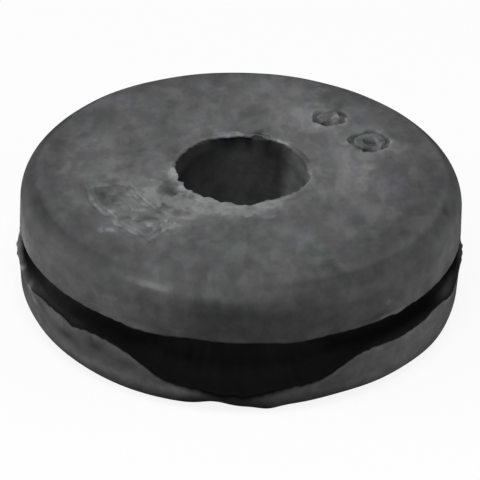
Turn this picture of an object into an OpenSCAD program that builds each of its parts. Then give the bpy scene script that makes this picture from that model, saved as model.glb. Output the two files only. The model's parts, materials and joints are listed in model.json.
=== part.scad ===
// Pedal washer: one moulded rubber piece, a grommet with two equal flanges.
// The edge of a sheet-metal bracket sits in the groove, and the pedal bolt
// passes through the bore.  Lengths are in millimetres.  The axis of the bore
// is Z, the lower flange rests on Z = 0, and -Y is the side with the worn rim.

/* [Body] */
// Height over both flanges
total_h = 9.6; // [8.4:0.1:11]
// Diameter of the upper flange, at the groove
upper_d = 30; // [28:0.5:34]
// Diameter of the lower flange, at the groove
lower_d = 30.2; // [28:0.1:34]
// Radius of the rounded shoulder on the upper flange
upper_shoulder_r = 2; // [1:0.1:2.4]
// Radius of the rounded foot on the lower flange
lower_shoulder_r = 1.5; // [1:0.1:2.4]
// Draft of each flange's rim, in degrees
rim_draft = 2; // [0:0.5:4]

/* [Groove] */
// Width of the groove at the neck, for a bracket of 1.5 mm sheet
groove_w = 1.5; // [1.2:0.1:2]
// Diameter of the neck between the flanges
neck_d = 20; // [17:0.5:21]
// Draft of each groove wall, in degrees
groove_draft = 1; // [0:0.5:2]
// Radius at the root of each groove wall
root_r = 0.4; // [0.2:0.05:0.5]

/* [Bore] */
// Diameter of the bore, for an M8 bolt
bore_d = 9; // [8.5:0.1:10]
// Radius that rounds each mouth of the bore
mouth_r = 0.3; // [0.1:0.05:0.5]

/* [Worn rim] */
// Thickness of the lip that is left under the worn hollow
lip_t = 1.6; // [1.2:0.1:2.2]
// Half of the hollow's width, measured round the rim in degrees
hollow_half_angle = 30; // [24:1:34]
// Radial depth of the hollow where it meets the groove wall
hollow_depth = 3.8; // [3:0.1:4.4]
// Depth of the dent in the foot of the rim
dent_depth = 0.3; // [0.1:0.05:0.6]

/* [Moulded marks] */
// Depth of the engraved marks on the upper face
mark_depth = 0.25; // [0.1:0.05:0.5]
// Width of an engraved line
mark_line = 0.4; // [0.3:0.05:0.6]
// Diameter of the plain ring
plain_ring_d = 2.4; // [2:0.1:3]
// Diameter of the ring with a pip inside
pip_ring_d = 2.8; // [2.4:0.1:3.2]
// Number of pips in the curved frame
frame_pips = 5; // [3:1:6]

/* [Hidden] */
$fn = 96;

upper_r = upper_d / 2;
lower_r = lower_d / 2;
neck_r = neck_d / 2;
bore_r = bore_d / 2;
mid_h = total_h / 2; // height of the groove's middle plane
overlap = 1; // how far a cutter runs past the face it cuts

// Half the width of the groove at a radius, which grows with the draft
function half_gap(r) = groove_w / 2 + (r - neck_r) * tan(groove_draft);

// Radius of the rim of a flange of radius r, where its shoulder of radius
// shoulder_r begins
function rim_end(r, shoulder_r) = r - (mid_h - shoulder_r - half_gap(r)) * tan(rim_draft);

// The hollow is the cap of a ball whose centre is at x = 0.  Three points fix
// it: the lip on the rim, a corner on the rim at the groove wall, and the
// deepest point of the hollow on that wall.
wall_z = mid_h - half_gap(lower_r);
corner = [lower_r * sin(hollow_half_angle), -lower_r * cos(hollow_half_angle)];
deep_y = -lower_r + hollow_depth;
hollow_y = (corner.x * corner.x + corner.y * corner.y - deep_y * deep_y)
         / (2 * (corner.y - deep_y));
hollow_z = (pow(deep_y - hollow_y, 2) + wall_z * wall_z
         - pow(-lower_r - hollow_y, 2) - lip_t * lip_t)
         / (2 * (wall_z - lip_t));
hollow_r = norm([-lower_r - hollow_y, lip_t - hollow_z]);

// The dent is a ball pressed up into the foot of the rim, at the point where
// the rounded shoulder faces foot_lean degrees below the horizontal.
foot_lean = 57.5;
foot_r = rim_end(lower_r, lower_shoulder_r) - lower_shoulder_r * (1 - cos(foot_lean));
foot_z = lower_shoulder_r * (1 - sin(foot_lean));
dent_r = 6;
dent_angle = -7; // from -Y towards +X

// Places of the marks on the upper face, as a radius and an angle from +X
plain_ring = [9.5, 51];
pip_ring = [9.7, 26.5];
pip_d = 0.8;
frame_r = [7.7, 10.9]; // inner and outer radius of the curved frame
frame_angle = [194, 238]; // angles of its two ends, from +X

// Section of the half of the washer above the groove's middle plane, for a
// flange of radius r.  X is the radius and Y the height over that plane.
module half_section(r, shoulder_r) {
    end_r = rim_end(r, shoulder_r);
    shoulder = [end_r - shoulder_r, mid_h - shoulder_r];
    difference() {
        union() {
            polygon([
                [bore_r, 0],
                [r, 0],
                [r, half_gap(r)],
                [end_r, shoulder.y],
                shoulder,
                [shoulder.x, mid_h],
                [bore_r, mid_h]
            ]);
            translate(shoulder) quarter_disc(shoulder_r);
        }
        groove_section(r);
        mouth_section();
    }
}

// A quarter of a disc, between +X and +Y
module quarter_disc(r) {
    intersection() {
        circle(r);
        square(r);
    }
}

// Half of the groove, with a rounded root
module groove_section(r) {
    root = [neck_r + root_r, half_gap(neck_r + root_r) - root_r];
    polygon([
        [neck_r, -overlap],
        [r + overlap, -overlap],
        [r + overlap, half_gap(r + overlap)],
        [root.x, root.y + root_r],
        root,
        [neck_r, root.y]
    ]);
    translate(root) mirror([1, 0]) quarter_disc(root_r);
}

// The corner that is taken off to round one mouth of the bore
module mouth_section() {
    translate([bore_r + mouth_r, mid_h - mouth_r])
        difference() {
            translate([-mouth_r - overlap, 0]) square(mouth_r + overlap);
            mirror([1, 0]) quarter_disc(mouth_r);
        }
}

// One half of the washer, turned from its section
module half_washer(r, shoulder_r) {
    rotate_extrude() half_section(r, shoulder_r);
}

// The worn hollow in the lower rim, which ends under the groove
module worn_hollow() {
    intersection() {
        translate([0, hollow_y, hollow_z]) sphere(hollow_r);
        translate([-lower_d, -lower_d, 0]) cube([2 * lower_d, lower_d, mid_h]);
    }
}

// The dent in the foot of the lower rim
module rim_dent() {
    reach = dent_r - dent_depth;
    rotate([0, 0, dent_angle])
        translate([0, -foot_r - reach * cos(foot_lean), foot_z - reach * sin(foot_lean)])
            sphere(dent_r);
}

// A cutter that sinks a shape from the upper face by the depth of the marks
module sink() {
    translate([0, 0, total_h - mark_depth])
        linear_extrude(mark_depth + overlap) children();
}

// Moves its children to a place given as a radius and an angle from +X
module at_polar(place) {
    rotate(place[1]) translate([place[0], 0]) children();
}

// An engraved ring of outer diameter d
module ring_mark(d) {
    difference() {
        circle(d = d);
        circle(d = d - 2 * mark_line);
    }
}

// An engraved pip
module pip_mark() {
    circle(d = pip_d);
}

// The whole washer
module pedal_washer() {
    color("#4b4c4d")
        difference() {
            union() {
                translate([0, 0, mid_h])
                    half_washer(upper_r, upper_shoulder_r);
                translate([0, 0, mid_h]) mirror([0, 0, 1])
                    half_washer(lower_r, lower_shoulder_r);
            }
            worn_hollow();
            rim_dent();
            marks();
        }
}

// All the engraved marks on the upper face
module marks() {
    mid_r = (frame_r[0] + frame_r[1]) / 2;
    step = (frame_angle[1] - frame_angle[0]) / (frame_pips + 1);
    sink() at_polar(plain_ring) ring_mark(plain_ring_d);
    sink() at_polar(pip_ring) ring_mark(pip_ring_d);
    sink() at_polar(pip_ring) pip_mark();
    frame_mark();
    for (i = [1 : frame_pips])
        sink() at_polar([mid_r, frame_angle[0] + i * step]) pip_mark();
}

// The curved frame, cut as a block with a smaller block left standing
module frame_mark() {
    line_angle = mark_line / frame_r[0] * 180 / PI;
    translate([0, 0, total_h - mark_depth])
        difference() {
            arc_block(frame_r, frame_angle, mark_depth + overlap);
            translate([0, 0, -overlap])
                arc_block([frame_r[0] + mark_line, frame_r[1] - mark_line],
                          [frame_angle[0] + line_angle, frame_angle[1] - line_angle],
                          mark_depth + 3 * overlap);
        }
}

// A block between two radii and two angles
module arc_block(radii, angles, h) {
    rotate([0, 0, angles[0]])
        rotate_extrude(angle = angles[1] - angles[0])
            translate([radii[0], 0]) square([radii[1] - radii[0], h]);
}

pedal_washer();
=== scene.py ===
"""Looks of the pedal washer, made around its fixed frame.

The washer is one closed surface.  Its section is laid out in the half plane of
radius and height, carried round the axis of the bore as a grid, worn and
engraved there, and then given to one mesh.

Sizes are in millimetres until the mesh is made, and angles are in degrees.  An
azimuth is measured from -Y, the side with the worn rim, towards +X.
"""

import json
import logging
import math
from dataclasses import dataclass, field
from enum import IntEnum

import bpy
import numpy as np
from mathutils import Matrix, Vector

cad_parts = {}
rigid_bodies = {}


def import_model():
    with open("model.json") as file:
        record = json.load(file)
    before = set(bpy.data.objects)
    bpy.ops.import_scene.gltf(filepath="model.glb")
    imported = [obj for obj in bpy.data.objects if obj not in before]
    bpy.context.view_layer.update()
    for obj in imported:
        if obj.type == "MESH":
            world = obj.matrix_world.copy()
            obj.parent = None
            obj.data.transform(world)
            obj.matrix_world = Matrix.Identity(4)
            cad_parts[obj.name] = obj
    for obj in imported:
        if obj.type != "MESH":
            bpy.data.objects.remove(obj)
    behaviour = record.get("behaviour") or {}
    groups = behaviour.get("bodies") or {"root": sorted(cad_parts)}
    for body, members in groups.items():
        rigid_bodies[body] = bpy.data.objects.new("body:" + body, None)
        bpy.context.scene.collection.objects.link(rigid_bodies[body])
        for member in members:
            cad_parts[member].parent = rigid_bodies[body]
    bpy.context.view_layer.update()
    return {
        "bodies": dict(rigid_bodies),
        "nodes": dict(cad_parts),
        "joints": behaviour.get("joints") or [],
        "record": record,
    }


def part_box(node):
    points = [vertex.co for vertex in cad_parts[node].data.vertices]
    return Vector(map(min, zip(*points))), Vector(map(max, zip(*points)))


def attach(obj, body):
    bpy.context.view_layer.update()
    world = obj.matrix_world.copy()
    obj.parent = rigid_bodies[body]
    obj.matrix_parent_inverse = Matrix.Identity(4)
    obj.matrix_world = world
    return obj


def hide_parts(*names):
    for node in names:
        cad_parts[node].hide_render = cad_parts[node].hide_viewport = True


NODE = "pedal_washer"
LOG = logging.getLogger(NODE)
MM = 0.001  # metres in a millimetre
BODY = "root"
WAVE_PEAK = 1.6  # about the peak of a sum of waves, over the root of its summed squares
Array = np.ndarray
Span = tuple[float, float]
Colour = tuple[float, float, float, float]
Socket = bpy.types.NodeSocket
WHITE: Colour = (1.0, 1.0, 1.0, 1.0)


class Region(IntEnum):
    """The stretches of the washer's section, in their order along it."""

    TOP = 0
    UPPER_RIM = 1
    GROOVE = 2
    LOWER_RIM = 3
    BOTTOM = 4
    BORE = 5
    MOUTH = 6


def smooth_step(value: Array, low: float, high: float) -> Array:
    """Rises from 0 at low to 1 at high along the cubic 3t^2 - 2t^3.

    Args:
        value: Any array.
        low: Value at which the rise starts.
        high: Value at which it ends; it may be below low, for a fall.

    Returns:
        An array of value's shape, from 0 to 1.
    """
    t = np.clip((value - low) / (high - low), 0.0, 1.0)
    return t * t * (3.0 - 2.0 * t)


def bell(value: Array, centre: float, width: float) -> Array:
    """A bell curve, exp(-((value - centre) / width)^2)."""
    return np.exp(-(((value - centre) / width) ** 2))


def arc(centre: Span, radius: float, start: float, end: float, count: int) -> Array:
    """Points along a circular arc in the section's half plane.

    Args:
        centre: Radius and height of the arc's centre.
        radius: The arc's own radius.
        start: Angle of its first point, from outwards towards up.
        end: Angle of its last point.
        count: How many points, both ends included.

    Returns:
        An array of count rows, each a radius and a height.
    """
    angle = np.radians(np.linspace(start, end, count))
    return np.asarray(centre) + radius * np.stack([np.cos(angle), np.sin(angle)], axis=1)


def straight(start: Span | Array, end: Span | Array, count: int) -> Array:
    """Evenly spaced points from start up to, but not including, end."""
    t = np.linspace(0.0, 1.0, count, endpoint=False)[:, None]
    return np.asarray(start) * (1.0 - t) + np.asarray(end) * t


@dataclass(frozen=True)
class Waves:
    """A ragged but repeatable line round the axis: a seeded sum of cosines."""

    seed: int
    fastest: int
    slowest: int = 2
    roughness: float = 0.5

    def around(self, azimuth: Array) -> Array:
        """The sum over k of k^-roughness cos(k azimuth + phase), scaled to about -1 to 1.

        Args:
            azimuth: Angles in degrees.

        Returns:
            An array of azimuth's shape.
        """
        rng = np.random.default_rng(self.seed)
        orders = np.arange(self.slowest, self.fastest + 1)
        weights = orders ** -self.roughness
        phases = rng.uniform(0.0, 2.0 * np.pi, orders.size)
        angles = np.radians(azimuth)[..., None] * orders + phases
        return (np.cos(angles) * weights).sum(-1) / (WAVE_PEAK * np.sqrt((weights**2).sum()))

    def across(self, x: Array, y: Array, length: float = 4.0) -> Array:
        """The same sum for plane waves that cross a face in seeded directions.

        Args:
            x: First coordinate, in millimetres.
            y: Second coordinate.
            length: Length of the slowest wave, in millimetres.

        Returns:
            An array of x's shape, about -1 to 1.
        """
        rng = np.random.default_rng(self.seed)
        height = np.zeros_like(x)
        power = 0.0
        for order in range(self.slowest, self.fastest + 1):
            heading, phase = rng.uniform(0.0, 2.0 * np.pi, 2)
            weight = order**-self.roughness
            rate = 2.0 * np.pi * order / (self.slowest * length)
            height += weight * np.cos(rate * (x * np.cos(heading) + y * np.sin(heading)) + phase)
            power += weight**2
        return height / (WAVE_PEAK * math.sqrt(power))


def new_object(name: str, data: bpy.types.ID) -> bpy.types.Object:
    """Makes an object and links it to the scene.

    Args:
        name: The object's name.
        data: Its mesh, lamp or camera.

    Returns:
        The object.
    """
    made = bpy.data.objects.new(name, data)
    bpy.context.scene.collection.objects.link(made)
    return made


@dataclass
class Section:
    """The washer's outline in the half plane of radius and height."""

    height: float
    lower_r: float
    bore_r: float
    upper_r: float = 15.0
    neck_r: float = 10.0
    groove_w: float = 1.5
    groove_draft: float = 1.0
    rim_draft: float = 2.0
    upper_shoulder_r: float = 2.0
    lower_shoulder_r: float = 1.6
    root_r: float = 0.4
    mouth_r: float = 0.3
    edge_r: float = 0.14

    @classmethod
    def from_frame(cls, record: dict) -> "Section":
        """Takes the height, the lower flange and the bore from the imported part.

        Args:
            record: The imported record, whose mounts give the bore.

        Returns:
            The section.
        """
        low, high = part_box(NODE)
        bore = next(m for m in record["mounts"] if m["kind"] == "bore")
        return cls(height=(high.z - low.z) / MM, lower_r=high.x / MM, bore_r=bore["dims"]["r_mm"])

    @property
    def middle(self) -> float:
        """Height of the groove's middle plane."""
        return self.height / 2

    def half_gap(self, radius: float) -> float:
        """Half the groove's width at a radius, which its draft makes wider outwards."""
        return self.groove_w / 2 + (radius - self.neck_r) * math.tan(math.radians(self.groove_draft))

    def rim(self, flange_r: float, shoulder_r: float) -> Array:
        """One flange's rim and shoulder, from the groove's edge to its flat face.

        The points are those of the upper flange, with heights above the middle
        plane, and the lower flange mirrors them.

        Args:
            flange_r: Radius of the flange at the groove.
            shoulder_r: Radius that rounds it towards the flat face.

        Returns:
            Points from the groove's edge to the start of the flat face.
        """
        wall = self.half_gap(flange_r)
        top = self.middle - shoulder_r
        end_r = flange_r - (top - wall) * math.tan(math.radians(self.rim_draft))
        edge = arc((flange_r - self.edge_r, wall + self.edge_r), self.edge_r, -90, 0, count=6)
        side = straight(edge[-1], (end_r, top), count=14)[1:]
        shoulder = arc((end_r - shoulder_r, top), shoulder_r, 0, 90, count=18)
        return np.concatenate([edge, side, shoulder])

    def root(self) -> Array:
        """Half of the groove's floor, from the middle plane to the wall above it.

        Returns:
            Its points, with heights above the middle plane.
        """
        centre_r = self.neck_r + self.root_r
        centre_z = self.half_gap(centre_r) - self.root_r
        floor = straight((self.neck_r, 0.0), (self.neck_r, centre_z), count=2)
        return np.concatenate([floor, arc((centre_r, centre_z), self.root_r, 180, 90, count=6)])

    def outline(self) -> tuple[Array, Array]:
        """The whole closed outline, starting at the bore's upper mouth.

        Returns:
            The points, each a radius and a height, and the region of each.
        """
        up, down = np.array([1.0, 1.0]), np.array([1.0, -1.0])
        lift = np.array([0.0, self.middle])
        upper = self.rim(self.upper_r, self.upper_shoulder_r) * up + lift
        lower = self.rim(self.lower_r, self.lower_shoulder_r) * down + lift
        root = self.root()
        mouth_r = self.bore_r + self.mouth_r
        mouth_z = self.height - self.mouth_r
        stretches = {
            Region.TOP: straight((mouth_r, self.height), upper[-1], count=84),
            Region.UPPER_RIM: upper[::-1],
            Region.GROOVE: np.concatenate([
                straight(upper[0], root[-1] * up + lift, count=5)[1:],
                root[::-1] * up + lift,
                root[1:] * down + lift,
                straight(root[-1] * down + lift, lower[0], count=16)[1:],
            ]),
            Region.LOWER_RIM: lower,
            Region.BOTTOM: np.concatenate([
                straight(lower[-1], (mouth_r, 0.0), count=5)[1:],
                arc((mouth_r, self.mouth_r), self.mouth_r, 270, 180, count=4),
            ]),
            Region.BORE: straight((self.bore_r, self.mouth_r), (self.bore_r, mouth_z), count=7)[1:],
            Region.MOUTH: arc((mouth_r, mouth_z), self.mouth_r, 180, 90, count=14)[:-1],
        }
        points = np.concatenate(list(stretches.values()))
        regions = np.concatenate([np.full(len(p), int(r)) for r, p in stretches.items()])
        return points, regions


@dataclass
class Grid:
    """The washer's surface: rows follow the section and columns go round the axis."""

    section: Section
    columns: int = 455
    azimuth: Array = field(init=False)
    radius: Array = field(init=False)
    height: Array = field(init=False)
    region: Array = field(init=False)

    def __post_init__(self) -> None:
        """Turns the section into the plain grid."""
        points, self.region = self.section.outline()
        self.azimuth = np.linspace(-180.0, 180.0, self.columns, endpoint=False)
        self.radius = np.repeat(points[:, :1], self.columns, axis=1)
        self.height = np.repeat(points[:, 1:], self.columns, axis=1)

    def rows(self, region: Region) -> slice:
        """The rows of one region."""
        found = np.flatnonzero(self.region == int(region))
        return slice(int(found[0]), int(found[-1]) + 1)

    @property
    def x(self) -> Array:
        """Every point's x, in millimetres."""
        return self.radius * np.sin(np.radians(self.azimuth))

    @property
    def y(self) -> Array:
        """Every point's y, in millimetres."""
        return -self.radius * np.cos(np.radians(self.azimuth))

    def faces(self) -> Array:
        """Finds the quads; both directions of the grid close on themselves.

        Returns:
            The indices of each quad's four corners.
        """
        rows, columns = self.radius.shape
        index = np.arange(rows * columns).reshape(rows, columns)
        below = np.roll(index, -1, axis=0)
        corners = [index, below, np.roll(below, -1, axis=1), np.roll(index, -1, axis=1)]
        return np.stack(corners, axis=-1).reshape(-1, 4)

    def mesh(self, name: str, layers: dict[str, Array]) -> bpy.types.Mesh:
        """Makes the mesh and stores a value for each point and layer.

        Args:
            name: The mesh's name.
            layers: Arrays of the grid's shape, by the attribute's name.

        Returns:
            The mesh, shaded smooth.
        """
        points = np.stack([self.x, self.y, self.height], axis=-1).reshape(-1, 3) * MM
        mesh = bpy.data.meshes.new(name)
        mesh.from_pydata(points, [], self.faces())
        for layer, values in layers.items():
            attribute = mesh.attributes.new(layer, "FLOAT", "POINT")
            attribute.data.foreach_set("value", values.reshape(-1).astype(np.float32))
        mesh.shade_smooth()
        mesh.update()
        return mesh


class Row:
    """A record whose tables are written as rows."""

    @classmethod
    def rows(cls, *rows: tuple) -> tuple:
        """Makes records from rows of their fields, in order."""
        return tuple(cls(*row) for row in rows)


@dataclass(frozen=True)
class Bump(Row):
    """A rise, or a fall if negative, round one azimuth of an edge."""

    azimuth: float
    width: float
    amount: float

    def on(self, azimuth: Array) -> Array:
        """Its amount at every azimuth."""
        return self.amount * bell(azimuth, self.azimuth, self.width)


Bumps = tuple[Bump, ...]


@dataclass(frozen=True)
class BloomOval(Row):
    """A soft oval where the bloom is heavier, or lighter if its strength is negative; on the rims some
    stand for painted light and shade.

    On the upper face u and v are x and y in millimetres.  On a rim u is the
    azimuth in degrees and v the height in millimetres.
    """

    u: float
    v: float
    width: float
    height: float
    strength: float

    def on(self, u: Array, v: Array) -> Array:
        """Its strength at every point."""
        return self.strength * bell(u, self.u, self.width) * bell(v, self.v, self.height)


def total(spots: tuple[Row, ...], *place: Array) -> Array:
    """What several bumps add up to at an azimuth, or several stains at a u and a v."""
    return sum(spot.on(*place) for spot in spots)


@dataclass(frozen=True)
class WornHollow:
    """The place where the lower flange has lost its upper edge, under the groove."""

    half_width: float = 36.0
    lip: float = 1.62
    first_rise: float = 0.42
    first_span: Span = (3.0, 12.0)
    second_rise: float = 1.92
    second_start: float = 16.0
    depth: float = 3.8
    least_depth: float = 0.001
    floor_power: float = 1.4
    ragged: float = 0.1
    edge_ragged: float = 0.04
    chips: Bumps = Bump.rows(
        (-66, 5, -0.4), (-45.7, 2, -0.3), (-24, 9, 0.34), (15, 6, 0.24), (44, 6, -0.2),
        (52, 5, -0.12), (72, 6, -0.7),
    )
    waves: Waves = Waves(seed=11, slowest=9, fastest=160, roughness=0.45)

    def lip_height(self, azimuth: Array, full: float) -> Array:
        """Height of the lip round the rim.

        It climbs in two soft steps from the lowest point in front to the
        flange's full edge, less the chips.

        Args:
            azimuth: Angles in degrees.
            full: Height of the unworn edge.

        Returns:
            Heights in millimetres.
        """
        off = np.abs(azimuth)
        rise = self.first_rise * smooth_step(off, *self.first_span)
        rise += self.second_rise * smooth_step(off, self.second_start, self.half_width)
        worn = self.lip + rise + self.ragged * self.waves.around(azimuth)
        edge = full - self.edge_ragged + self.edge_ragged * self.waves.around(azimuth + 90.0)
        return np.minimum(worn, edge) + total(self.chips, azimuth)

    def wear(self, grid: Grid) -> Array:
        """Lowers the flange's edge to the lip and scoops the hollow behind it.

        The rim's rows are spread again along the outline below the lip.  The
        wall's rows run from the root of the groove to the lip, and drop to the
        hollow's floor, which falls from the wall to the lip along t^floor_power.

        Args:
            grid: The surface, which is changed.

        Returns:
            Height of the lip for each column.
        """
        section = grid.section
        rim = grid.rows(Region.LOWER_RIM)
        base = np.stack([grid.radius[rim, 0], grid.height[rim, 0]], axis=1)
        run = np.concatenate([[0.0], np.cumsum(np.linalg.norm(np.diff(base, axis=0), axis=1))])
        lip = self.lip_height(grid.azimuth, section.middle - section.half_gap(section.lower_r))
        start = np.interp(-lip, -base[:, 1], run)
        spread = start + run[:, None] * (1.0 - start / run[-1])
        grid.radius[rim] = np.interp(spread, run, base[:, 0])
        grid.height[rim] = np.interp(spread, run, base[:, 1])

        groove = grid.rows(Region.GROOVE)
        root_z = section.middle - section.half_gap(section.neck_r)
        below = np.flatnonzero(grid.height[groove, 0] < root_z)
        wall = slice(groove.start + int(below[0]), groove.stop)
        root_r = grid.radius[wall.start, 0]
        lip_r = grid.radius[rim.start]
        reach = self.depth * np.clip(1.0 - (grid.azimuth / self.half_width) ** 2, self.least_depth, 1.0)
        share = (grid.radius[wall] - root_r) / (base[0, 0] - root_r)
        grid.radius[wall] = root_r + share * (lip_r - root_r)
        inward = np.clip((lip_r - grid.radius[wall]) / reach, 0.0, 1.0)
        floor = lip + (grid.height[wall] - lip) * inward**self.floor_power
        grid.height[wall] = np.minimum(grid.height[wall], floor)
        return lip


@dataclass(frozen=True)
class FootWear:
    """The dent in the foot of the lower rim, and where the foot is out of round."""

    lean: float = 57.5
    spread: float = 1.0
    bumps: Bumps = Bump.rows(
        (-5.5, 4.5, -0.26), (8.5, 3.5, 0.17), (28, 9, -0.1), (66, 12, 0.22), (-28, 14, 0.08),
        (-70, 9, -0.16),
    )

    def wear(self, grid: Grid) -> None:
        """Moves the foot along its own slope, outwards for a positive bump.

        Args:
            grid: The surface, which is changed.
        """
        section = grid.section
        lean = math.radians(self.lean)
        flat_r = grid.radius[grid.rows(Region.LOWER_RIM).stop - 1, 0]
        foot_r = flat_r + section.lower_shoulder_r * math.cos(lean)
        foot_z = section.lower_shoulder_r * (1.0 - math.sin(lean))
        low = grid.height < section.middle
        near = np.exp(-(np.hypot(grid.radius - foot_r, grid.height - foot_z) / self.spread) ** 2)
        move = near * low * total(self.bumps, grid.azimuth)
        grid.radius += move * math.cos(lean)
        grid.height = np.maximum(grid.height - move * math.sin(lean), 0.0)


@dataclass(frozen=True)
class Flash:
    """The thin ragged skin that the mould left at the bore, and along the groove's edges."""

    mouth_reach: float = 0.2
    mouth_lift: float = 0.05
    mouth_mean: float = 0.35
    mouth_ragged: float = 0.8
    mouth_range: Span = (-0.8, 1.8)
    fin: Span = (0.5, 0.3)
    mouth_waves: Waves = Waves(seed=23, slowest=4, fastest=80, roughness=0.8)
    mouth_bumps: Bumps = Bump.rows(
        (-92, 22, 0.7), (-108, 7, -0.5), (-130, 3, 0.6), (-145, 8, -0.5), (-71, 4, -0.7),
        (-24, 14, 1.3), (8, 7, -0.4), (24, 8, 1.3), (44, 16, 0.7), (166, 5, -1.4), (176, 3, 0.9),
        (-168, 6, 0.9),
    )
    edge_reach: float = 0.2
    edge_thin: float = 0.2
    edge_ragged: float = 0.6
    edge_range: Span = (-0.2, 1.0)
    edge_line: Span = (0.12, 0.2)
    edge_waves: Waves = Waves(seed=31, slowest=14, fastest=120, roughness=0.4)
    edge_bumps: Bumps = Bump.rows(
        (-84, 9, 0.75), (-100, 5, 0.7), (-70, 5, 0.4), (92, 10, 0.8),
    )
    lumps: Bumps = Bump.rows(
        (-24, 6, 0.15), (-68, 5, 0.1), (-11, 3, -0.06), (14, 5, 0.14), (44, 2, 0.17),
    )
    lump_waves: Waves = Waves(seed=37, slowest=12, fastest=150, roughness=0.5)
    lump_height: float = 0.045
    lump_spread: float = 0.35
    tear_azimuth: float = 165.0
    tear_width: float = 9.0
    tear_taper: float = 3.0
    tear_r: float = 4.93
    tear_slope: float = 0.012
    tear_thickness: float = 0.12
    tear_depth: float = 0.24

    def add(self, grid: Grid) -> None:
        """Draws the mouth's edge inwards, the lower flange's outwards and the upper's down.

        Args:
            grid: The surface, which is changed.
        """
        ragged = self.mouth_mean + self.mouth_ragged * self.mouth_waves.around(grid.azimuth)
        ragged = np.clip(ragged + total(self.mouth_bumps, grid.azimuth), *self.mouth_range)
        mouth = grid.rows(Region.MOUTH)
        along = np.linspace(0.0, 1.0, mouth.stop - mouth.start)[:, None]
        fin = bell(along, *self.fin)
        grid.radius[mouth] -= self.mouth_reach * ragged * fin
        grid.height[mouth] += self.mouth_lift * ragged * fin

        skin = self.edge_ragged * np.clip(self.edge_waves.around(grid.azimuth), *self.edge_range)
        places = total(self.edge_bumps, grid.azimuth)
        reach = self.edge_reach * (skin * (self.edge_thin + places) + places)
        rim = grid.rows(Region.LOWER_RIM)
        below = grid.height[rim.start] - grid.height[rim]
        grid.radius[rim] += reach * bell(below, *self.edge_line)

        rim = grid.rows(Region.UPPER_RIM)
        above = grid.height[rim] - grid.height[rim.stop - 1]
        drop = total(self.lumps, grid.azimuth) + self.lump_height * self.lump_waves.around(grid.azimuth)
        grid.height[rim] -= drop * bell(above, 0.0, self.lump_spread)

    def tear(self, grid: Grid) -> None:
        """Opens the short tear in the upper face, behind the bore.

        Args:
            grid: The surface, which is changed.
        """
        top = grid.rows(Region.TOP)
        off = grid.azimuth - self.tear_azimuth
        line = self.tear_r + self.tear_slope * off
        open_here = smooth_step(np.abs(off), self.tear_width, self.tear_width - self.tear_taper)
        across = bell(grid.radius[top], line, self.tear_thickness)
        grid.height[top] -= self.tear_depth * open_here * across


@dataclass(frozen=True)
class Marks:
    """The engraved marks: two rings, and a curved frame with a row of pips."""

    depth: float = 0.25
    line: float = 0.4
    soft: float = 0.13
    ring_ragged: float = 0.2
    frame_ragged: float = 0.1
    ragged_length: float = 3.0
    worn_mean: float = 0.9
    worn_range: float = 0.25
    worn_length: float = 6.0
    plain_ring_r: float = 1.2
    pip_ring_r: float = 1.4
    pip_r: float = 0.4
    plain_ring: Span = (9.5, 51.0)
    pip_ring: Span = (9.7, 26.5)
    frame_radii: Span = (7.7, 10.9)
    frame_angles: Span = (194.0, 238.0)
    frame_pips: int = 5

    @staticmethod
    def distance(x: Array, y: Array, place: Span) -> Array:
        """Distance from every point to a place given as a radius and an angle from +X."""
        angle = math.radians(place[1])
        return np.hypot(x - place[0] * math.cos(angle), y - place[0] * math.sin(angle))

    def stroke(self, offset: Array, half_width: float) -> Array:
        """A line's mask from the distance to its middle: 1 on it, with a soft edge."""
        return smooth_step(offset, half_width + self.soft / 2, half_width - self.soft / 2)

    def rings(self, x: Array, y: Array) -> Array:
        """Mask of the two rings and of the pip inside the second.

        Args:
            x: First coordinate, in millimetres.
            y: Second coordinate.

        Returns:
            The mask, from 0 to 1.
        """
        mask = np.zeros_like(x)
        for place, ring_r in ((self.plain_ring, self.plain_ring_r), (self.pip_ring, self.pip_ring_r)):
            offset = np.abs(self.distance(x, y, place) - ring_r + self.line / 2)
            mask = np.maximum(mask, self.stroke(offset, self.line / 2))
        return np.maximum(mask, self.stroke(self.distance(x, y, self.pip_ring), self.pip_r))

    def frame(self, x: Array, y: Array) -> Array:
        """Mask of the curved frame and its pips.

        A point's distance to the frame's border is the least of its distances
        to the two arcs and to the two ends.

        Args:
            x: First coordinate, in millimetres.
            y: Second coordinate.

        Returns:
            The mask, from 0 to 1.
        """
        radius = np.hypot(x, y)
        angle = np.degrees(np.arctan2(y, x)) % 360.0
        inner, outer = self.frame_radii
        first, last = self.frame_angles
        ends = [np.radians(off) * radius for off in (angle - first, last - angle)]
        border = np.minimum.reduce([radius - inner, outer - radius, *ends])
        mask = self.stroke(np.abs(border - self.line / 2), self.line / 2)
        middle = (inner + outer) / 2
        for angle_of_pip in np.linspace(first, last, self.frame_pips + 2)[1:-1]:
            offset = self.distance(x, y, (middle, angle_of_pip))
            mask = np.maximum(mask, self.stroke(offset, self.pip_r))
        return mask

    def engrave(self, grid: Grid) -> tuple[Array, Array]:
        """Sinks the marks into the upper face.

        Args:
            grid: The surface, which is changed.

        Returns:
            Masks of the rings and of the frame, of the grid's shape.
        """
        top = grid.rows(Region.TOP)
        rings, frame = np.zeros_like(grid.radius), np.zeros_like(grid.radius)
        x, y = grid.x[top], grid.y[top]
        u = Waves(seed=61, fastest=10).across(x, y, self.ragged_length)
        v = Waves(seed=67, fastest=10).across(x, y, self.ragged_length)
        rings[top] = self.rings(x + self.ring_ragged * u, y + self.ring_ragged * v)
        frame[top] = self.frame(x + self.frame_ragged * u, y + self.frame_ragged * v)
        worn = self.worn_range * Waves(seed=5, fastest=9).across(x, y, self.worn_length)
        grid.height[top] -= self.depth * (self.worn_mean + worn) * np.maximum(rings[top], frame[top])
        return rings, frame
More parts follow.
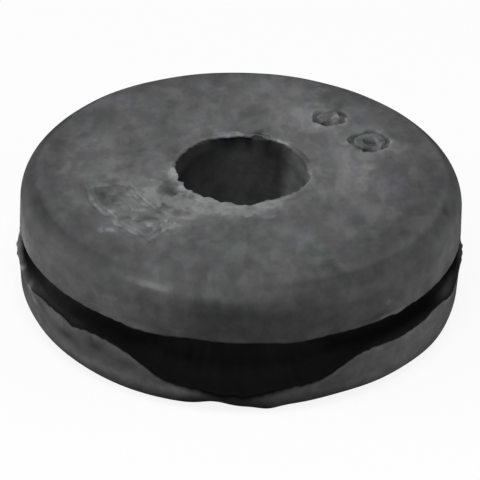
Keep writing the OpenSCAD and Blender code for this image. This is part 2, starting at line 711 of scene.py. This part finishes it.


# Clouds of heavier and lighter bloom on the upper face; the two dark ones along the tear behind the
# bore, at about (1.3, 4.65) and (0.3, 4.9), are painted shade in the crease
FACE_STAINS = BloomOval.rows(
    (-7, -3.6, 1.1, 0.8, 0.24), (-6.1, -2, 0.9, 0.8, 0.2), (-8, -6, 1.3, 0.9, 0.12),
    (-6.4, -7.2, 2.4, 0.7, 0.14), (-3.6, -7.4, 1.5, 0.9, 0.14), (-4, -5.6, 1.6, 0.9, 0.2),
    (-2.3, -5.7, 1.7, 0.8, 0.26), (-0.3, -5.7, 1.3, 0.6, 0.22), (1.5, -5.3, 1.3, 0.6, 0.18),
    (3.2, -4.6, 1, 0.7, 0.04), (2.1, -6.3, 1.1, 0.8, -0.22), (-6.2, -6.7, 1, 0.5, -0.3),
    (-5.1, -0.4, 0.6, 1.3, 0.24), (7.4, 0, 1.2, 2.2, 0.2), (8.2, 2.6, 1.6, 1.4, 0.1),
    (6, 2.8, 1.4, 1.8, 0.1), (2.6, 8.7, 1.6, 1.6, 0.2), (6, 7.4, 0.8, 0.8, -0.22),
    (8.68, 4.33, 1, 0.8, -0.1), (3.1, 6.9, 0.8, 1.2, 0.14), (6.1, 6, 0.9, 0.6, 0.24),
    (10, 5.8, 1.3, 0.7, 0.14), (8.4, 2.7, 0.9, 0.8, 0.16), (-7.5, 0.1, 0.7, 0.8, -0.2),
    (-4.6, 2.3, 0.5, 0.8, -0.14), (-4.9, -1.4, 0.4, 0.6, -0.14), (-3.1, -7.4, 1.1, 0.6, -0.14),
    (0.8, 12.2, 1.6, 0.8, 0.14), (4.6, 7.5, 0.9, 1.6, 0.4), (6.8, 7, 0.7, 0.8, 0.45),
    (9.8, 3.6, 0.8, 0.8, 0.45), (7.2, 4, 0.8, 0.8, 0.2), (4.3, 11, 1.3, 1.3, 0.2),
    (5.8, -3, 1.2, 0.7, 0.2), (-8, -1.5, 1.1, 0.6, 0.22), (5, 5.8, 1.6, 0.6, 0.2),
    (2.4, 10.9, 2, 1.2, 0.06), (-9.6, 0.6, 1.8, 2, 0.07), (-1.9, -11.6, 1.6, 0.6, 0.07),
    (-9.1, -2.9, 1.1, 1.2, -0.24), (-7.5, 1.8, 0.9, 0.8, -0.2), (-11.2, -4.3, 0.8, 1, 0.14),
    (-6.8, 0, 0.7, 0.9, 0.14), (-4.7, -2.9, 0.8, 0.7, -0.24), (1.3, 4.65, 0.9, 0.3, -0.35),
    (-5, -5.3, 0.9, 0.5, -0.3), (-12.4, -0.6, 1.1, 3.2, -0.14), (-10.6, -1, 1.2, 1, 0.06),
    (-11.4, -5.2, 1.2, 2.6, -0.06), (8.4, -9.4, 3.4, 2.4, -0.08), (11.9, -2.1, 1.8, 3.6, -0.12),
    (10.1, -7.2, 2.2, 2.2, -0.1), (-7.1, -9.5, 2.4, 1.2, -0.06), (0.1, -7.6, 1.6, 0.7, -0.08),
    (-2.8, -7.7, 1, 0.7, -0.16), (-3.8, -10.4, 1.6, 0.8, -0.1), (5.6, -12.3, 1.7, 0.9, -0.3),
    (7.2, 11.2, 2.6, 1.4, -0.12), (10.9, 5.8, 1.6, 2.2, -0.1), (-1.4, 12.3, 3.2, 0.9, -0.08),
    (-6.6, 9.9, 2.2, 1.1, -0.06), (8.3, 3.4, 0.9, 0.7, -0.2), (-8.5, -3.7, 0.9, 0.7, -0.2),
    (-4.5, -3.4, 0.6, 0.7, -0.2), (7.6, 7, 0.8, 0.7, -0.2), (-4.5, -1.1, 0.4, 0.7, -0.2),
    (-5.7, -5.4, 0.8, 0.6, 0.22), (1.4, 9.4, 0.9, 0.8, 0.18), (5, 8.2, 0.8, 0.7, 0.18),
    (-11.4, -4.8, 0.9, 1, 0.15), (9.4, -5.4, 1, 0.9, 0.15), (7.9, -7.7, 1, 0.8, 0.15),
    (-2, -8.8, 1, 0.6, -0.17), (-10.1, 2.7, 1.6, 1.2, 0.13), (7.8, 0.3, 0.8, 0.8, 0.12),
    (9.5, 0.1, 0.9, 1.4, -0.15), (13.2, -1.2, 0.7, 2.2, -0.14), (-13.2, 2.1, 0.7, 1.2, -0.14),
    (-3.2, 5.4, 0.8, 0.9, 0.18), (8.7, 5.2, 0.8, 0.8, 0.16), (6.5, 6.4, 0.5, 0.5, 0.2),
    (0.3, 4.9, 0.7, 0.35, -0.3), (-9.2, -5.3, 0.8, 0.7, -0.2), (5.3, 0, 0.35, 0.8, 0.2),
    (3.2, -3.5, 0.6, 0.5, -0.15), (-10, -5.5, 0.7, 0.6, 0.2), (3.7, 5.7, 1, 0.8, 0.14),
    (-11.4, -0.9, 0.9, 0.9, 0.13), (-5.6, -1.8, 0.4, 0.6, -0.16), (8.6, -3.5, 0.9, 0.7, 0.12),
)
# The same on the two rims, where some are painted light and shade: on the upper rim the pale ovals low
# on the flanks near ±73 degrees and the pale streak on the shoulder near -23 degrees are painted light,
# and on the lower rim the darker ovals near 73 and ±82 degrees are painted shade
UPPER_RIM_STAINS_AND_LIGHT = BloomOval.rows(
    (-73, 5.8, 5, 0.4, 0.45), (73, 9.2, 1.5, 0.25, -0.1), (75, 5.8, 3, 0.4, 0.2),
    (23, 9.42, 8, 0.15, -0.1), (-76, 6.7, 7, 1.1, 0.45), (52, 8.2, 8, 0.5, -0.1),
    (40.5, 6.8, 0.9, 0.16, 0.35), (41, 5.75, 5, 0.14, 0.3), (-26, 5.75, 3.5, 0.2, 0.2),
    (-14, 6.2, 1.6, 0.14, 0.25), (40, 9.1, 26, 0.6, -0.05), (40, 6.6, 12, 1.2, -0.03),
    (-66, 9.3, 14, 0.5, -0.07), (-8, 9.1, 22, 0.4, 0.17), (-6, 8.75, 13, 0.22, 0.15),
    (-24, 8.88, 7, 0.16, 0.24), (-22, 8.86, 3.6, 0.14, 0.3), (-38, 7.4, 20, 1.4, 0.08),
    (-70, 6.6, 14, 1, 0.16), (70, 7.2, 10, 0.9, 0.1), (25, 6.6, 10, 1, -0.08),
    (0, 7.2, 7, 0.9, -0.03), (-135, 9.3, 32, 0.5, -0.08), (115, 9.2, 28, 0.6, -0.06),
    (38, 6, 6, 0.3, -0.12),
)
LOWER_RIM_STAINS_AND_SHADE = BloomOval.rows(
    (73, 4.2, 6, 0.5, -0.25), (-61, 3.3, 3.5, 0.5, -0.15), (-34, 1.6, 18, 0.5, 0.16),
    (82, 1.9, 9, 1.5, -0.16), (-82, 1.8, 8, 1, -0.14), (-48, 2.6, 4, 0.45, -0.22),
    (-38, 3, 3.5, 0.4, -0.2), (-29, 2.7, 3.5, 0.35, -0.14), (-15, 1.6, 4, 0.5, 0.38),
    (-28, 3.4, 4, 0.35, 0.14), (-37, 3.6, 5, 0.4, -0.12), (-50, 3.3, 8, 0.4, 0.12),
    (27, 2, 3, 0.5, -0.08), (36, 2.4, 3.5, 0.6, -0.06),
)
# Patches of pale dust on the upper face
DUST_PATCHES = BloomOval.rows(
    (6.5, 7.6, 0.14, 0.5, 0.9), (9.1, 4.6, 0.5, 0.25, 0.7), (5.2, 6.3, 0.5, 0.3, 0.8),
    (-2, -5.4, 1.9, 0.5, 0.8), (-4.9, -7.4, 1.2, 0.7, 0.7), (0.3, -5.5, 1.8, 0.45, 0.7),
    (-5.3, -4.3, 1.3, 0.7, 0.9), (-5.8, -2.8, 0.5, 1, 1.1), (-8.5, -8.2, 1, 0.4, 0.7),
    (-3.6, -4.1, 0.7, 0.9, 0.6),
)
# Small flecks on the upper face, pale, or dark if negative
FACE_FLECKS = BloomOval.rows(
    (-4, -2.85, 0.25, 0.2, 0.6), (7.2, 3.9, 0.35, 0.2, 0.8), (10, 4.2, 0.25, 0.15, 0.5),
    (6.6, 7.7, 0.25, 0.15, 0.5), (-4.75, -0.75, 0.2, 0.3, 0.8), (-4.75, -1.3, 0.15, 0.25, 0.4),
    (-4.6, -1.8, 0.15, 0.25, 0.3), (-4.7, 0.5, 0.15, 0.3, 0.4), (-7.3, -3.6, 0.3, 0.2, 0.6),
    (6.5, 6.5, 0.5, 0.2, 0.8), (5.4, 6.2, 0.3, 0.15, 0.4), (-0.4, -4.95, 0.5, 0.15, 0.5),
    (-8.7, -5.8, 0.4, 0.15, 0.5), (-5.7, -2.8, 0.2, 0.3, 0.5), (-6.7, -5.6, 0.4, 0.15, 0.5),
    (-3.6, -6.4, 0.4, 0.15, 0.5), (-2.4, -4.35, 0.3, 0.15, 0.3), (5.5, 6.6, 0.3, 0.2, -0.5),
    (9.7, 4.3, 0.3, 0.25, -0.5), (8.9, 3.65, 0.5, 0.15, -0.4), (8.3, 3.35, 0.5, 0.15, -0.45),
    (8, 3.1, 0.3, 0.15, -0.3), (6.7, 7.1, 0.25, 0.15, -0.3), (6.1, 6.7, 0.4, 0.12, -0.3),
    (-8, -6.8, 0.35, 0.2, -0.4), (-7.3, -6.5, 0.3, 0.2, -0.3), (-7.1, -3.95, 0.3, 0.15, -0.3),
    (-3.4, -5.85, 0.3, 0.2, -0.25), (-4.4, -3.6, 0.2, 0.2, -0.1), (7.3, 4.3, 0.2, 0.15, -0.2),
)
# Pale crumbs on the lower rim, at the groove
RIM_FLECKS = BloomOval.rows(
    (-74, 3.9, 1, 0.16, 1), (-67.3, 3.4, 1, 0.16, 0.8), (-64.5, 2.9, 1.4, 0.16, 0.4),
)
# How pale the bore's mouth is, round the axis: partly pale flash and dust, partly a painted highlight
# along its edge
MOUTH_DUST_AND_HIGHLIGHT = Bump.rows(
    (-80, 7, 3), (-60, 10, 1.6), (-30, 18, 1.25), (18, 18, 0.9), (75, 30, 0.2), (119, 19, -0.65),
    (-170, 12, 1), (165, 6, -0.3), (144, 8, 1),
)


@dataclass
class Cover:
    """The grey bloom on each point, from 0 on clean rubber to 1, and the pale dust; in places both are
    painted light and shade: in the groove, below the worn lip, on the upper rim, in and round the bore,
    and at the engraved rings.
    """

    grid: Grid
    lip: Array
    rings: Array
    frame: Array
    bloom: Array = field(init=False)
    dust: Array = field(init=False)

    most_bloom: float = 1.4
    most_dust: float = 2.0

    face: float = 0.56
    face_edge: float = 0.43
    face_fade: Span = (9.5, 13.5)
    face_ragged: float = 0.45
    # The rings' floor is darkened as painted shade and their edge lightened as a painted highlight.
    mark_floor_shade: float = 0.45
    mark_edge_highlight: float = 0.1
    bottom: float = 0.35

    # Bloom by height on the upper rim; its dip over the shoulder, from about 8.2 to 9.3 mm, is painted
    # shade.
    upper_rim: tuple[Span, ...] = (
        (5.6, 0.33), (7.2, 0.33), (8.2, 0.27), (8.9, 0.22), (9.3, 0.23), (9.6, 0.4),
    )
    # Painted light and shade in the groove: bare black towards the rims, paler deeper in, paler on the
    # left, darker in front, and a little paler at the worn side's ends.
    groove: float = 0.26
    groove_radii: Span = (14.8, 11.8)
    groove_bumps: Bumps = Bump.rows((0, 42, -0.18), (-68, 14, 0.7))
    groove_ends: Bumps = Bump.rows((-60, 14, 0.1), (70, 6, 0.1))

    lower_rim: float = 0.37
    # Just below the worn lip the bloom fades to bare black as painted shade, over a wider band in
    # front.
    lip_shade_band: float = 0.14
    lip_shade_front: Bump = Bump(0.0, 16.0, 0.75)
    lip_line: float = 0.1
    lip_line_below: Span = (0.25, 0.18)
    lip_waves: Waves = Waves(seed=13, slowest=20, fastest=140)
    flash: Bumps = Bump.rows((-88, 14, 0.8), (92, 10, 0.16))
    flash_spread: float = 0.5
    fleck_dust: float = 0.7

    bore: float = 0.15
    # Painted light in the bore: paler deep down and high at the back wall, and on the right wall as
    # bloom and pale dust.
    bore_deep: float = 0.4
    bore_depth: float = 5.0
    bore_back: Bump = Bump(180.0, 16.0, 0.24)
    bore_right_painted_light: float = 0.9
    bore_right_painted_pale: float = 0.75
    bore_right_start: Span = (34.0, 64.0)
    bore_right_end: Span = (148.0, 122.0)
    bore_right_top: Span = (9.0, 7.2)

    # Along the mouth: pale at the edge, partly a painted highlight, and darkened on the inner side as
    # painted shade.
    mouth: float = 0.58
    mouth_share: float = 0.5
    mouth_wall: float = 0.4
    mouth_edge: Span = (0.45, 0.8)

    frame_dust: float = 0.42
    frame_dust_range: float = 0.6
    frame_dust_length: float = 5.0
    # A pale ring on the mouth's edge: partly dust, partly a painted highlight.
    halo: float = 0.85
    halo_r: float = 4.8
    halo_line: float = 0.13
    halo_band: Bump = Bump(-5.0, 35.0, 0.55)
    halo_mean: float = 0.8
    halo_rough: float = 0.5
    patch: float = 0.45
    patch_rough: float = 0.7
    patch_level: Span = (0.34, 0.52)
    dust_ragged: float = 0.3

    def part(self, region: Region) -> tuple[slice, Array, Array]:
        """A region's rows, the azimuth of each column, and the heights of its points."""
        rows = self.grid.rows(region)
        return rows, self.grid.azimuth, self.grid.height[rows]

    def lay_face(self) -> None:
        """Lays the upper face's bloom, whose stains have wavy edges, and its dust.

        Where the rings' mask is t, their floor holds less bloom as painted shade, and their edge more,
        along 4t(1 - t), as a painted highlight.
        """
        rows = self.grid.rows(Region.TOP)
        x, y, rings = self.grid.x[rows], self.grid.y[rows], self.rings[rows]
        u = x + self.face_ragged * Waves(41, fastest=12).across(x, y)
        v = y + self.face_ragged * Waves(43, fastest=12).across(x, y)
        outer = smooth_step(np.hypot(u, v), *self.face_fade)
        cover = self.face + (self.face_edge - self.face) * outer
        cover += total(FACE_STAINS, u, v) + total(FACE_FLECKS, x, y)
        cover *= 1.0 + (self.mark_floor_shade - 1.0) * rings
        self.bloom[rows] = cover + self.mark_edge_highlight * 4.0 * rings * (1.0 - rings)
        self.dust[rows] += self.settled_dust(x, y)

    def settled_dust(self, x: Array, y: Array) -> Array:
        """The pale dust in ragged patches, in flecks and round the bore's mouth, where the ring is
        partly dust and partly a painted highlight along the mouth's edge.

        A patch is the place where its soft oval, roughened by waves, comes over
        a level, so that it has an edge.

        Args:
            x: First coordinate, in millimetres.
            y: Second coordinate.

        Returns:
            The dust.
        """
        azimuth = self.grid.azimuth
        rough = Waves(47, slowest=3, fastest=24).across(x, y)
        u = x + self.dust_ragged * Waves(51, fastest=14).across(x, y)
        v = y + self.dust_ragged * Waves(53, fastest=14).across(x, y)
        width = self.halo_line + self.halo_band.on(azimuth)
        halo = self.halo * bell(np.hypot(u, v), self.halo_r, width) * total(MOUTH_DUST_AND_HIGHLIGHT, azimuth)
        halo = halo * (self.halo_mean + self.halo_rough * rough)
        patches = total(DUST_PATCHES, u, v) * (1.0 + self.patch_rough * rough)
        patches = self.patch * smooth_step(patches, *self.patch_level)
        flecks = np.clip(total(FACE_FLECKS, x, y), 0.0, None)
        return np.maximum(halo, patches) + self.fleck_dust * flecks

    def lay_upper_rim(self) -> None:
        """Lays the upper rim's bloom by height, darker over the shoulder as painted shade, and leads it
        over to the face's.
        """
        rows, azimuth, z = self.part(Region.UPPER_RIM)
        levels, covers = zip(*self.upper_rim)
        rim = np.interp(z, levels, covers) + total(UPPER_RIM_STAINS_AND_LIGHT, azimuth, z)
        share = smooth_step(z, levels[-2], levels[-1])
        self.bloom[rows] = rim + (self.bloom[rows.start - 1] - rim) * share

    def lay_groove(self) -> None:
        """Lays the groove's bloom, which comes up with depth but for the worn side's ends: painted
        light and shade, bare black towards the rims and paler deeper in, so that the groove reads as
        one even dark.
        """
        rows, azimuth, _ = self.part(Region.GROOVE)
        deep = smooth_step(self.grid.radius[rows], *self.groove_radii)
        inside = self.groove + total(self.groove_bumps, azimuth)
        self.bloom[rows] = inside * deep + total(self.groove_ends, azimuth) * (1.0 - deep)

    def lay_lower_rim(self) -> None:
        """Lays the lower rim's bloom up to the worn lip, and its pale crumbs and flash; just below the
        lip the bloom fades to bare black as painted shade, over a wider band in front.
        """
        rows, azimuth, z = self.part(Region.LOWER_RIM)
        below = self.lip - z
        flecks = total(RIM_FLECKS, azimuth, z)
        rim = self.lower_rim + total(LOWER_RIM_STAINS_AND_SHADE, azimuth, z) + flecks
        line = 1.0 + self.lip_waves.around(azimuth)
        rim += self.lip_line * bell(below, *self.lip_line_below) * line
        lip_shade = smooth_step(below / (self.lip_shade_band + self.lip_shade_front.on(azimuth)), 0.0, 1.0)
        flash = total(self.flash, azimuth) * bell(below, 0.0, self.flash_spread)
        self.bloom[rows] = np.maximum(rim * lip_shade, flash)
        self.dust[rows] += self.fleck_dust * flecks

    def lay_bore(self) -> None:
        """Lays the bore's bloom, which is paler deep down and high at the back as painted light, and
        the painted light on its right wall, laid as bloom and pale dust.
        """
        rows, azimuth, z = self.part(Region.BORE)
        top = self.grid.section.height
        deep = smooth_step(z, top, top - self.bore_depth)
        right = smooth_step(z, *self.bore_right_top)
        for side in (self.bore_right_start, self.bore_right_end):
            right = right * smooth_step(azimuth, *side)
        self.bloom[rows] = self.bore + (self.bore_deep - self.bore) * deep
        self.bloom[rows] += self.bore_back.on(np.abs(azimuth)) * (1.0 - deep)
        self.bloom[rows] += self.bore_right_painted_light * right
        self.dust[rows] += self.bore_right_painted_pale * right

    def lay_mouth(self) -> None:
        """Leads the bore's cover over to the face's along the rounded mouth, darker on its inner side
        as painted shade and pale at its edge, partly flash and dust and partly a painted highlight.
        """
        rows, azimuth, _ = self.part(Region.MOUTH)
        along = np.linspace(0.0, 1.0, rows.stop - rows.start)[:, None]
        edge = smooth_step(along, *self.mouth_edge)
        pale = self.mouth + self.mouth_share * total(MOUTH_DUST_AND_HIGHLIGHT, azimuth)
        wall = self.mouth_wall * self.bloom[rows.start - 1]
        self.bloom[rows] = wall + (pale - wall) * edge
        self.dust[rows] += edge * self.dust[self.grid.rows(Region.TOP).start]

    def lay(self) -> tuple[Array, Array]:
        """Works out the bloom and the dust, part of which the curved frame has caught.

        Returns:
            The bloom and the dust, of the grid's shape.
        """
        grid = self.grid
        self.bloom = np.zeros_like(grid.radius)
        self.bloom[grid.rows(Region.BOTTOM)] = self.bottom
        waves = Waves(7, fastest=12).across(grid.x, grid.y, self.frame_dust_length)
        self.dust = self.frame * (self.frame_dust + self.frame_dust_range * waves)
        self.lay_face()
        self.lay_upper_rim()
        self.lay_groove()
        self.lay_lower_rim()
        self.lay_bore()
        self.lay_mouth()
        return np.clip(self.bloom, 0.0, self.most_bloom), np.clip(self.dust, 0.0, self.most_dust)


class NodeSheet:
    """The node tree of a material or a world, with the few calls that it needs."""

    noise_scale = (1.0, 0.6, 1.0)  # along Y the noise is drawn out

    def __init__(self, owner: bpy.types.Material | bpy.types.World) -> None:
        """Empties a node tree.

        Args:
            owner: The material or the world that has it.
        """
        owner.use_nodes = True
        self.tree = owner.node_tree
        self.tree.nodes.clear()

    def add(self, kind: str, inputs: dict[int | str, object], **settings: object) -> bpy.types.Node:
        """Adds a node.

        Args:
            kind: The node's type, without its prefix.
            inputs: A socket to join, or a plain value, for the number or name of an input.
            settings: The node's properties.

        Returns:
            The node.
        """
        node = self.tree.nodes.new(f"ShaderNode{kind}")
        for name, value in settings.items():
            setattr(node, name, value)
        for place, value in inputs.items():
            if isinstance(value, Socket):
                self.tree.links.new(value, node.inputs[place])
            else:
                node.inputs[place].default_value = value
        return node

    def noise(self, scale: float, detail: float = 4.0, roughness: float = 0.55) -> Socket:
        """Noise on the object's own coordinates, drawn out along Y.

        Args:
            scale: Its waves per metre.
            detail: How many finer layers it has.
            roughness: How strong these are.

        Returns:
            The noise, from 0 to 1.
        """
        place = self.add("TexCoord", {}).outputs["Object"]
        drawn_out = self.add("Mapping", {"Vector": place, "Scale": self.noise_scale})
        inputs = {"Scale": scale, "Detail": detail, "Roughness": roughness}
        inputs["Vector"] = drawn_out.outputs["Vector"]
        return self.add("TexNoise", inputs).outputs["Fac"]

    def attribute(self, name: str) -> Socket:
        """A value stored on the mesh's points."""
        return self.add("Attribute", {}, attribute_name=name).outputs["Fac"]

    def spread(self, value: Socket, source: Span, target: Span) -> Socket:
        """Maps the source range of a value to the target range, held at its ends."""
        ends = dict(zip(("From Min", "From Max", "To Min", "To Max"), (*source, *target)))
        return self.add("MapRange", {"Value": value, **ends}, clamp=True).outputs["Result"]

    def product(self, first: Socket, second: Socket, clamp: bool = False) -> Socket:
        """Multiplies two values, and holds the result within 0 and 1 if asked to clamp it."""
        inputs = {0: first, 1: second}
        return self.add("Math", inputs, operation="MULTIPLY", use_clamp=clamp).outputs[0]

    def blend(self, share: Socket, first: Socket | Colour, second: Socket | Colour) -> Socket:
        """Mixes two colours, each a socket or a plain colour, by a share."""
        inputs = {0: share, 6: first, 7: second}
        return self.add("Mix", inputs, data_type="RGBA", clamp_factor=True).outputs[2]

    def shader(self, kind: str, **inputs: object) -> Socket:
        """Adds a plain shader."""
        return self.add(kind, inputs).outputs[0]

    def show(self, output: str, shown: Socket, other: Socket) -> None:
        """Gives an output one shader for the camera's own rays, and another for the rest.

        Args:
            output: The output's type.
            shown: The shader that the camera sees.
            other: The shader for every other ray.
        """
        rays = self.add("LightPath", {}).outputs["Is Camera Ray"]
        mixed = self.add("MixShader", {0: rays, 1: other, 2: shown})
        self.add(output, {"Surface": mixed.outputs[0]})


@dataclass(frozen=True)
class RubberFinish:
    """Black moulded rubber with a dusty grey bloom, cloudy and finely grained."""

    clean: Colour = (0.0048, 0.0048, 0.0048, 1.0)
    bloom: Colour = (0.19, 0.19, 0.19, 1.0)
    bloom_green: Colour = (0.172, 0.193, 0.188, 1.0)
    bloom_violet: Colour = (0.192, 0.19, 0.208, 1.0)
    dust: Colour = (0.30, 0.315, 0.31, 1.0)
    roughness: float = 0.7
    specular: Span = (0.02, 0.35)
    sheen_cover: float = 0.3
    green_scale: float = 430.0
    violet_scale: float = 520.0
    tint_edges: Span = (0.55, 0.72)
    dust_scale: float = 1500.0
    dust_edges: Span = (0.35, 0.6)
    dust_least: float = 0.3
    grain: tuple[float, ...] = (2600.0, 5.0, 0.6)
    grain_strength: float = 0.25
    grain_height: float = 0.00005
    clouds: tuple[tuple[float, ...], ...] = (
        (260.0, 1.0, 0.12, 0.14),
        (620.0, 1.5, 0.11, 0.06),
        (1400.0, 2.0, 0.1, 0.07),
        (4500.0, 2.0, 0.02, 0.14),
    )

    def material(self) -> bpy.types.Material:
        """Builds the material.

        The bloom mixes clean rubber with greys of three tints.  Clouds of four
        sizes, each given by its scale, detail, depth and edge, vary it, and the
        pale dust lies over it.  The grain is given by scale, detail and roughness.

        Returns:
            The material.
        """
        material = bpy.data.materials.new("moulded_rubber")
        sheet = NodeSheet(material)
        # The bloom and dust attributes also carry painted light and shade, laid in Cover.
        bloom, tint = sheet.attribute("bloom"), sheet.attribute("tint")
        cover = bloom
        for scale, detail, depth, edge in self.clouds:
            noise = sheet.noise(scale, detail)
            clouds = sheet.spread(noise, (0.5 - edge, 0.5 + edge), (1.0 - depth, 1.0 + depth))
            cover = sheet.product(cover, clouds, clamp=True)
        grey = self.bloom
        greens, violets = (self.green_scale, self.bloom_green), (self.violet_scale, self.bloom_violet)
        for scale, colour in (greens, violets):
            share = sheet.spread(sheet.noise(scale, 1.0), self.tint_edges, (0.0, 1.0))
            grey = sheet.blend(sheet.product(share, tint), grey, colour)
        rubber = sheet.blend(cover, self.clean, grey)
        settled = sheet.spread(sheet.noise(self.dust_scale), self.dust_edges, (self.dust_least, 1.0))
        dusty = sheet.product(sheet.attribute("dust"), settled, clamp=True)
        grain = {"Strength": self.grain_strength, "Distance": self.grain_height}
        grain["Height"] = sheet.noise(*self.grain)
        look = {
            "Base Color": sheet.blend(dusty, rubber, self.dust),
            "Roughness": self.roughness,
            "Specular IOR Level": sheet.spread(bloom, (0.0, self.sheen_cover), self.specular),
            "Normal": sheet.add("Bump", grain).outputs["Normal"],
        }
        shader = sheet.add("BsdfPrincipled", look)
        sheet.add("OutputMaterial", {"Surface": shader.outputs["BSDF"]})
        return material


@dataclass
class Washer:
    """The whole washer, as one piece."""

    section: Section
    hollow: WornHollow = WornHollow()
    foot: FootWear = FootWear()
    flash: Flash = Flash()
    marks: Marks = Marks()
    finish: RubberFinish = RubberFinish()
    wobble: float = 0.035
    wobble_length: float = 14.0
    wobble_depth: float = 2.0

    def surface(self) -> tuple[Grid, dict[str, Array]]:
        """Works out the worn and engraved surface.

        Returns:
            The grid, and the values that the finish reads.
        """
        grid = Grid(self.section)
        lip = self.hollow.wear(grid)
        self.foot.wear(grid)
        self.flash.add(grid)
        self.flash.tear(grid)
        rings, frame = self.marks.engrave(grid)
        high = smooth_step(grid.height, self.section.height - self.wobble_depth, self.section.height)
        uneven = Waves(seed=3, fastest=14, roughness=1.2)
        grid.height += self.wobble * uneven.across(grid.x, grid.y, self.wobble_length) * high
        bloom, dust = Cover(grid, lip, rings, frame).lay()
        return grid, {"bloom": bloom, "dust": dust, "tint": high}

    def build(self) -> bpy.types.Object:
        """Makes the piece, dresses it and lets it stand for the frame's node.

        Returns:
            The piece.
        """
        grid, layers = self.surface()
        piece = new_object("moulded_washer", grid.mesh("moulded_washer", layers))
        piece.data.materials.append(self.finish.material())
        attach(piece, BODY)
        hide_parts(NODE)
        return piece


@dataclass(frozen=True)
class Lamp(Row):
    """A rectangular area lamp: its place and size in metres, and its power in watts."""

    name: str
    place: tuple[float, ...]
    size: Span
    power: float

    def hang(self, aim: Vector) -> None:
        """Hangs the lamp so that it faces a point.

        Args:
            aim: The point, in metres.
        """
        data = bpy.data.lights.new(self.name, "AREA")
        data.shape = "RECTANGLE"
        data.size, data.size_y = self.size
        data.energy = self.power
        lamp = new_object(self.name, data)
        lamp.location = self.place
        lamp.rotation_euler = (aim - Vector(self.place)).to_track_quat("-Z", "Y").to_euler()


@dataclass
class Studio:
    """The pale floor, the soft lamps and the world."""

    lamps: tuple[Lamp, ...] = Lamp.rows(
        ("lamp_high", (0.0, -0.154, 0.423), (0.24, 0.24), 1.22),
        ("lamp_upper_left", (-0.25, -0.1, 0.38), (0.2, 0.2), 0.35),
        ("lamp_left", (-0.42, -0.015, 0.052), (0.24, 0.08), 1.37),
        ("lamp_right", (0.42, -0.015, 0.052), (0.24, 0.08), 1.3),
    )
    floor_size: float = 3.0
    floor_dark: Colour = (0.05, 0.05, 0.05, 1.0)
    floor_pale: Colour = (0.9, 0.9, 0.9, 1.0)
    shadow_share: float = 0.12
    ambient: float = 0.15
    aim_z: float = 0.005

    def floor(self) -> None:
        """Lays the floor, which looks white to the camera and keeps a soft shadow."""
        half = self.floor_size / 2
        mesh = bpy.data.meshes.new("floor")
        corners = [(-half, -half, 0), (half, -half, 0), (half, half, 0), (-half, half, 0)]
        mesh.from_pydata(corners, [], [(0, 1, 2, 3)])
        new_object("floor", mesh)
        material = bpy.data.materials.new("pale_floor")
        mesh.materials.append(material)
        sheet = NodeSheet(material)
        pale = sheet.shader("BsdfDiffuse", Color=self.floor_pale)
        glow = sheet.shader("Emission", Color=WHITE)
        shown = sheet.add("MixShader", {0: 1.0 - self.shadow_share, 1: pale, 2: glow})
        dark = sheet.shader("BsdfDiffuse", Color=self.floor_dark)
        sheet.show("OutputMaterial", shown.outputs[0], dark)

    def world(self) -> None:
        """Fills the world: white to the camera, dim elsewhere."""
        world = bpy.data.worlds.new("studio")
        sheet = NodeSheet(world)
        seen = sheet.shader("Background", Color=WHITE)
        ambient = sheet.shader("Background", Color=WHITE, Strength=self.ambient)
        sheet.show("OutputWorld", seen, ambient)
        bpy.context.scene.world = world

    def build(self) -> None:
        """Sets the whole studio up."""
        self.floor()
        for lamp in self.lamps:
            lamp.hang(Vector((0.0, 0.0, self.aim_z)))
        self.world()
        bpy.context.scene.view_settings.view_transform = "Standard"


@dataclass
class Camera:
    """The camera: in front of the worn side, looking down on the upper face."""

    elevation: float = 32.5
    roll: float = 1.66
    distance: float = 0.18
    target_z: float = 0.00393
    lens: float = 197.0
    sensor: float = 36.0

    def build(self) -> None:
        """Makes the camera and gives it to the scene."""
        data = bpy.data.cameras.new("camera")
        data.lens = self.lens
        data.sensor_width = self.sensor
        data.clip_start = 0.01
        data.clip_end = 10.0
        camera = new_object("camera", data)
        lift = math.radians(self.elevation)
        back = Vector((0.0, -math.cos(lift), math.sin(lift)))
        aim = (-back).to_track_quat("-Z", "Y").to_matrix().to_4x4()
        turn = Matrix.Rotation(math.radians(self.roll), 4, "Z")
        place = Matrix.Translation(Vector((0.0, 0.0, self.target_z)) + back * self.distance)
        camera.matrix_world = place @ aim @ turn
        bpy.context.scene.camera = camera


def main() -> None:
    """Builds the scene around the frame and reports each piece."""
    logging.basicConfig(level=logging.INFO, format="%(message)s")
    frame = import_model()
    Camera().build()
    Studio().build()
    washer = Washer(Section.from_frame(frame["record"])).build()
    mesh = washer.data
    LOG.info("%s: %d points, %d faces", washer.name, len(mesh.vertices), len(mesh.polygons))


if __name__ == "__main__":
    main()
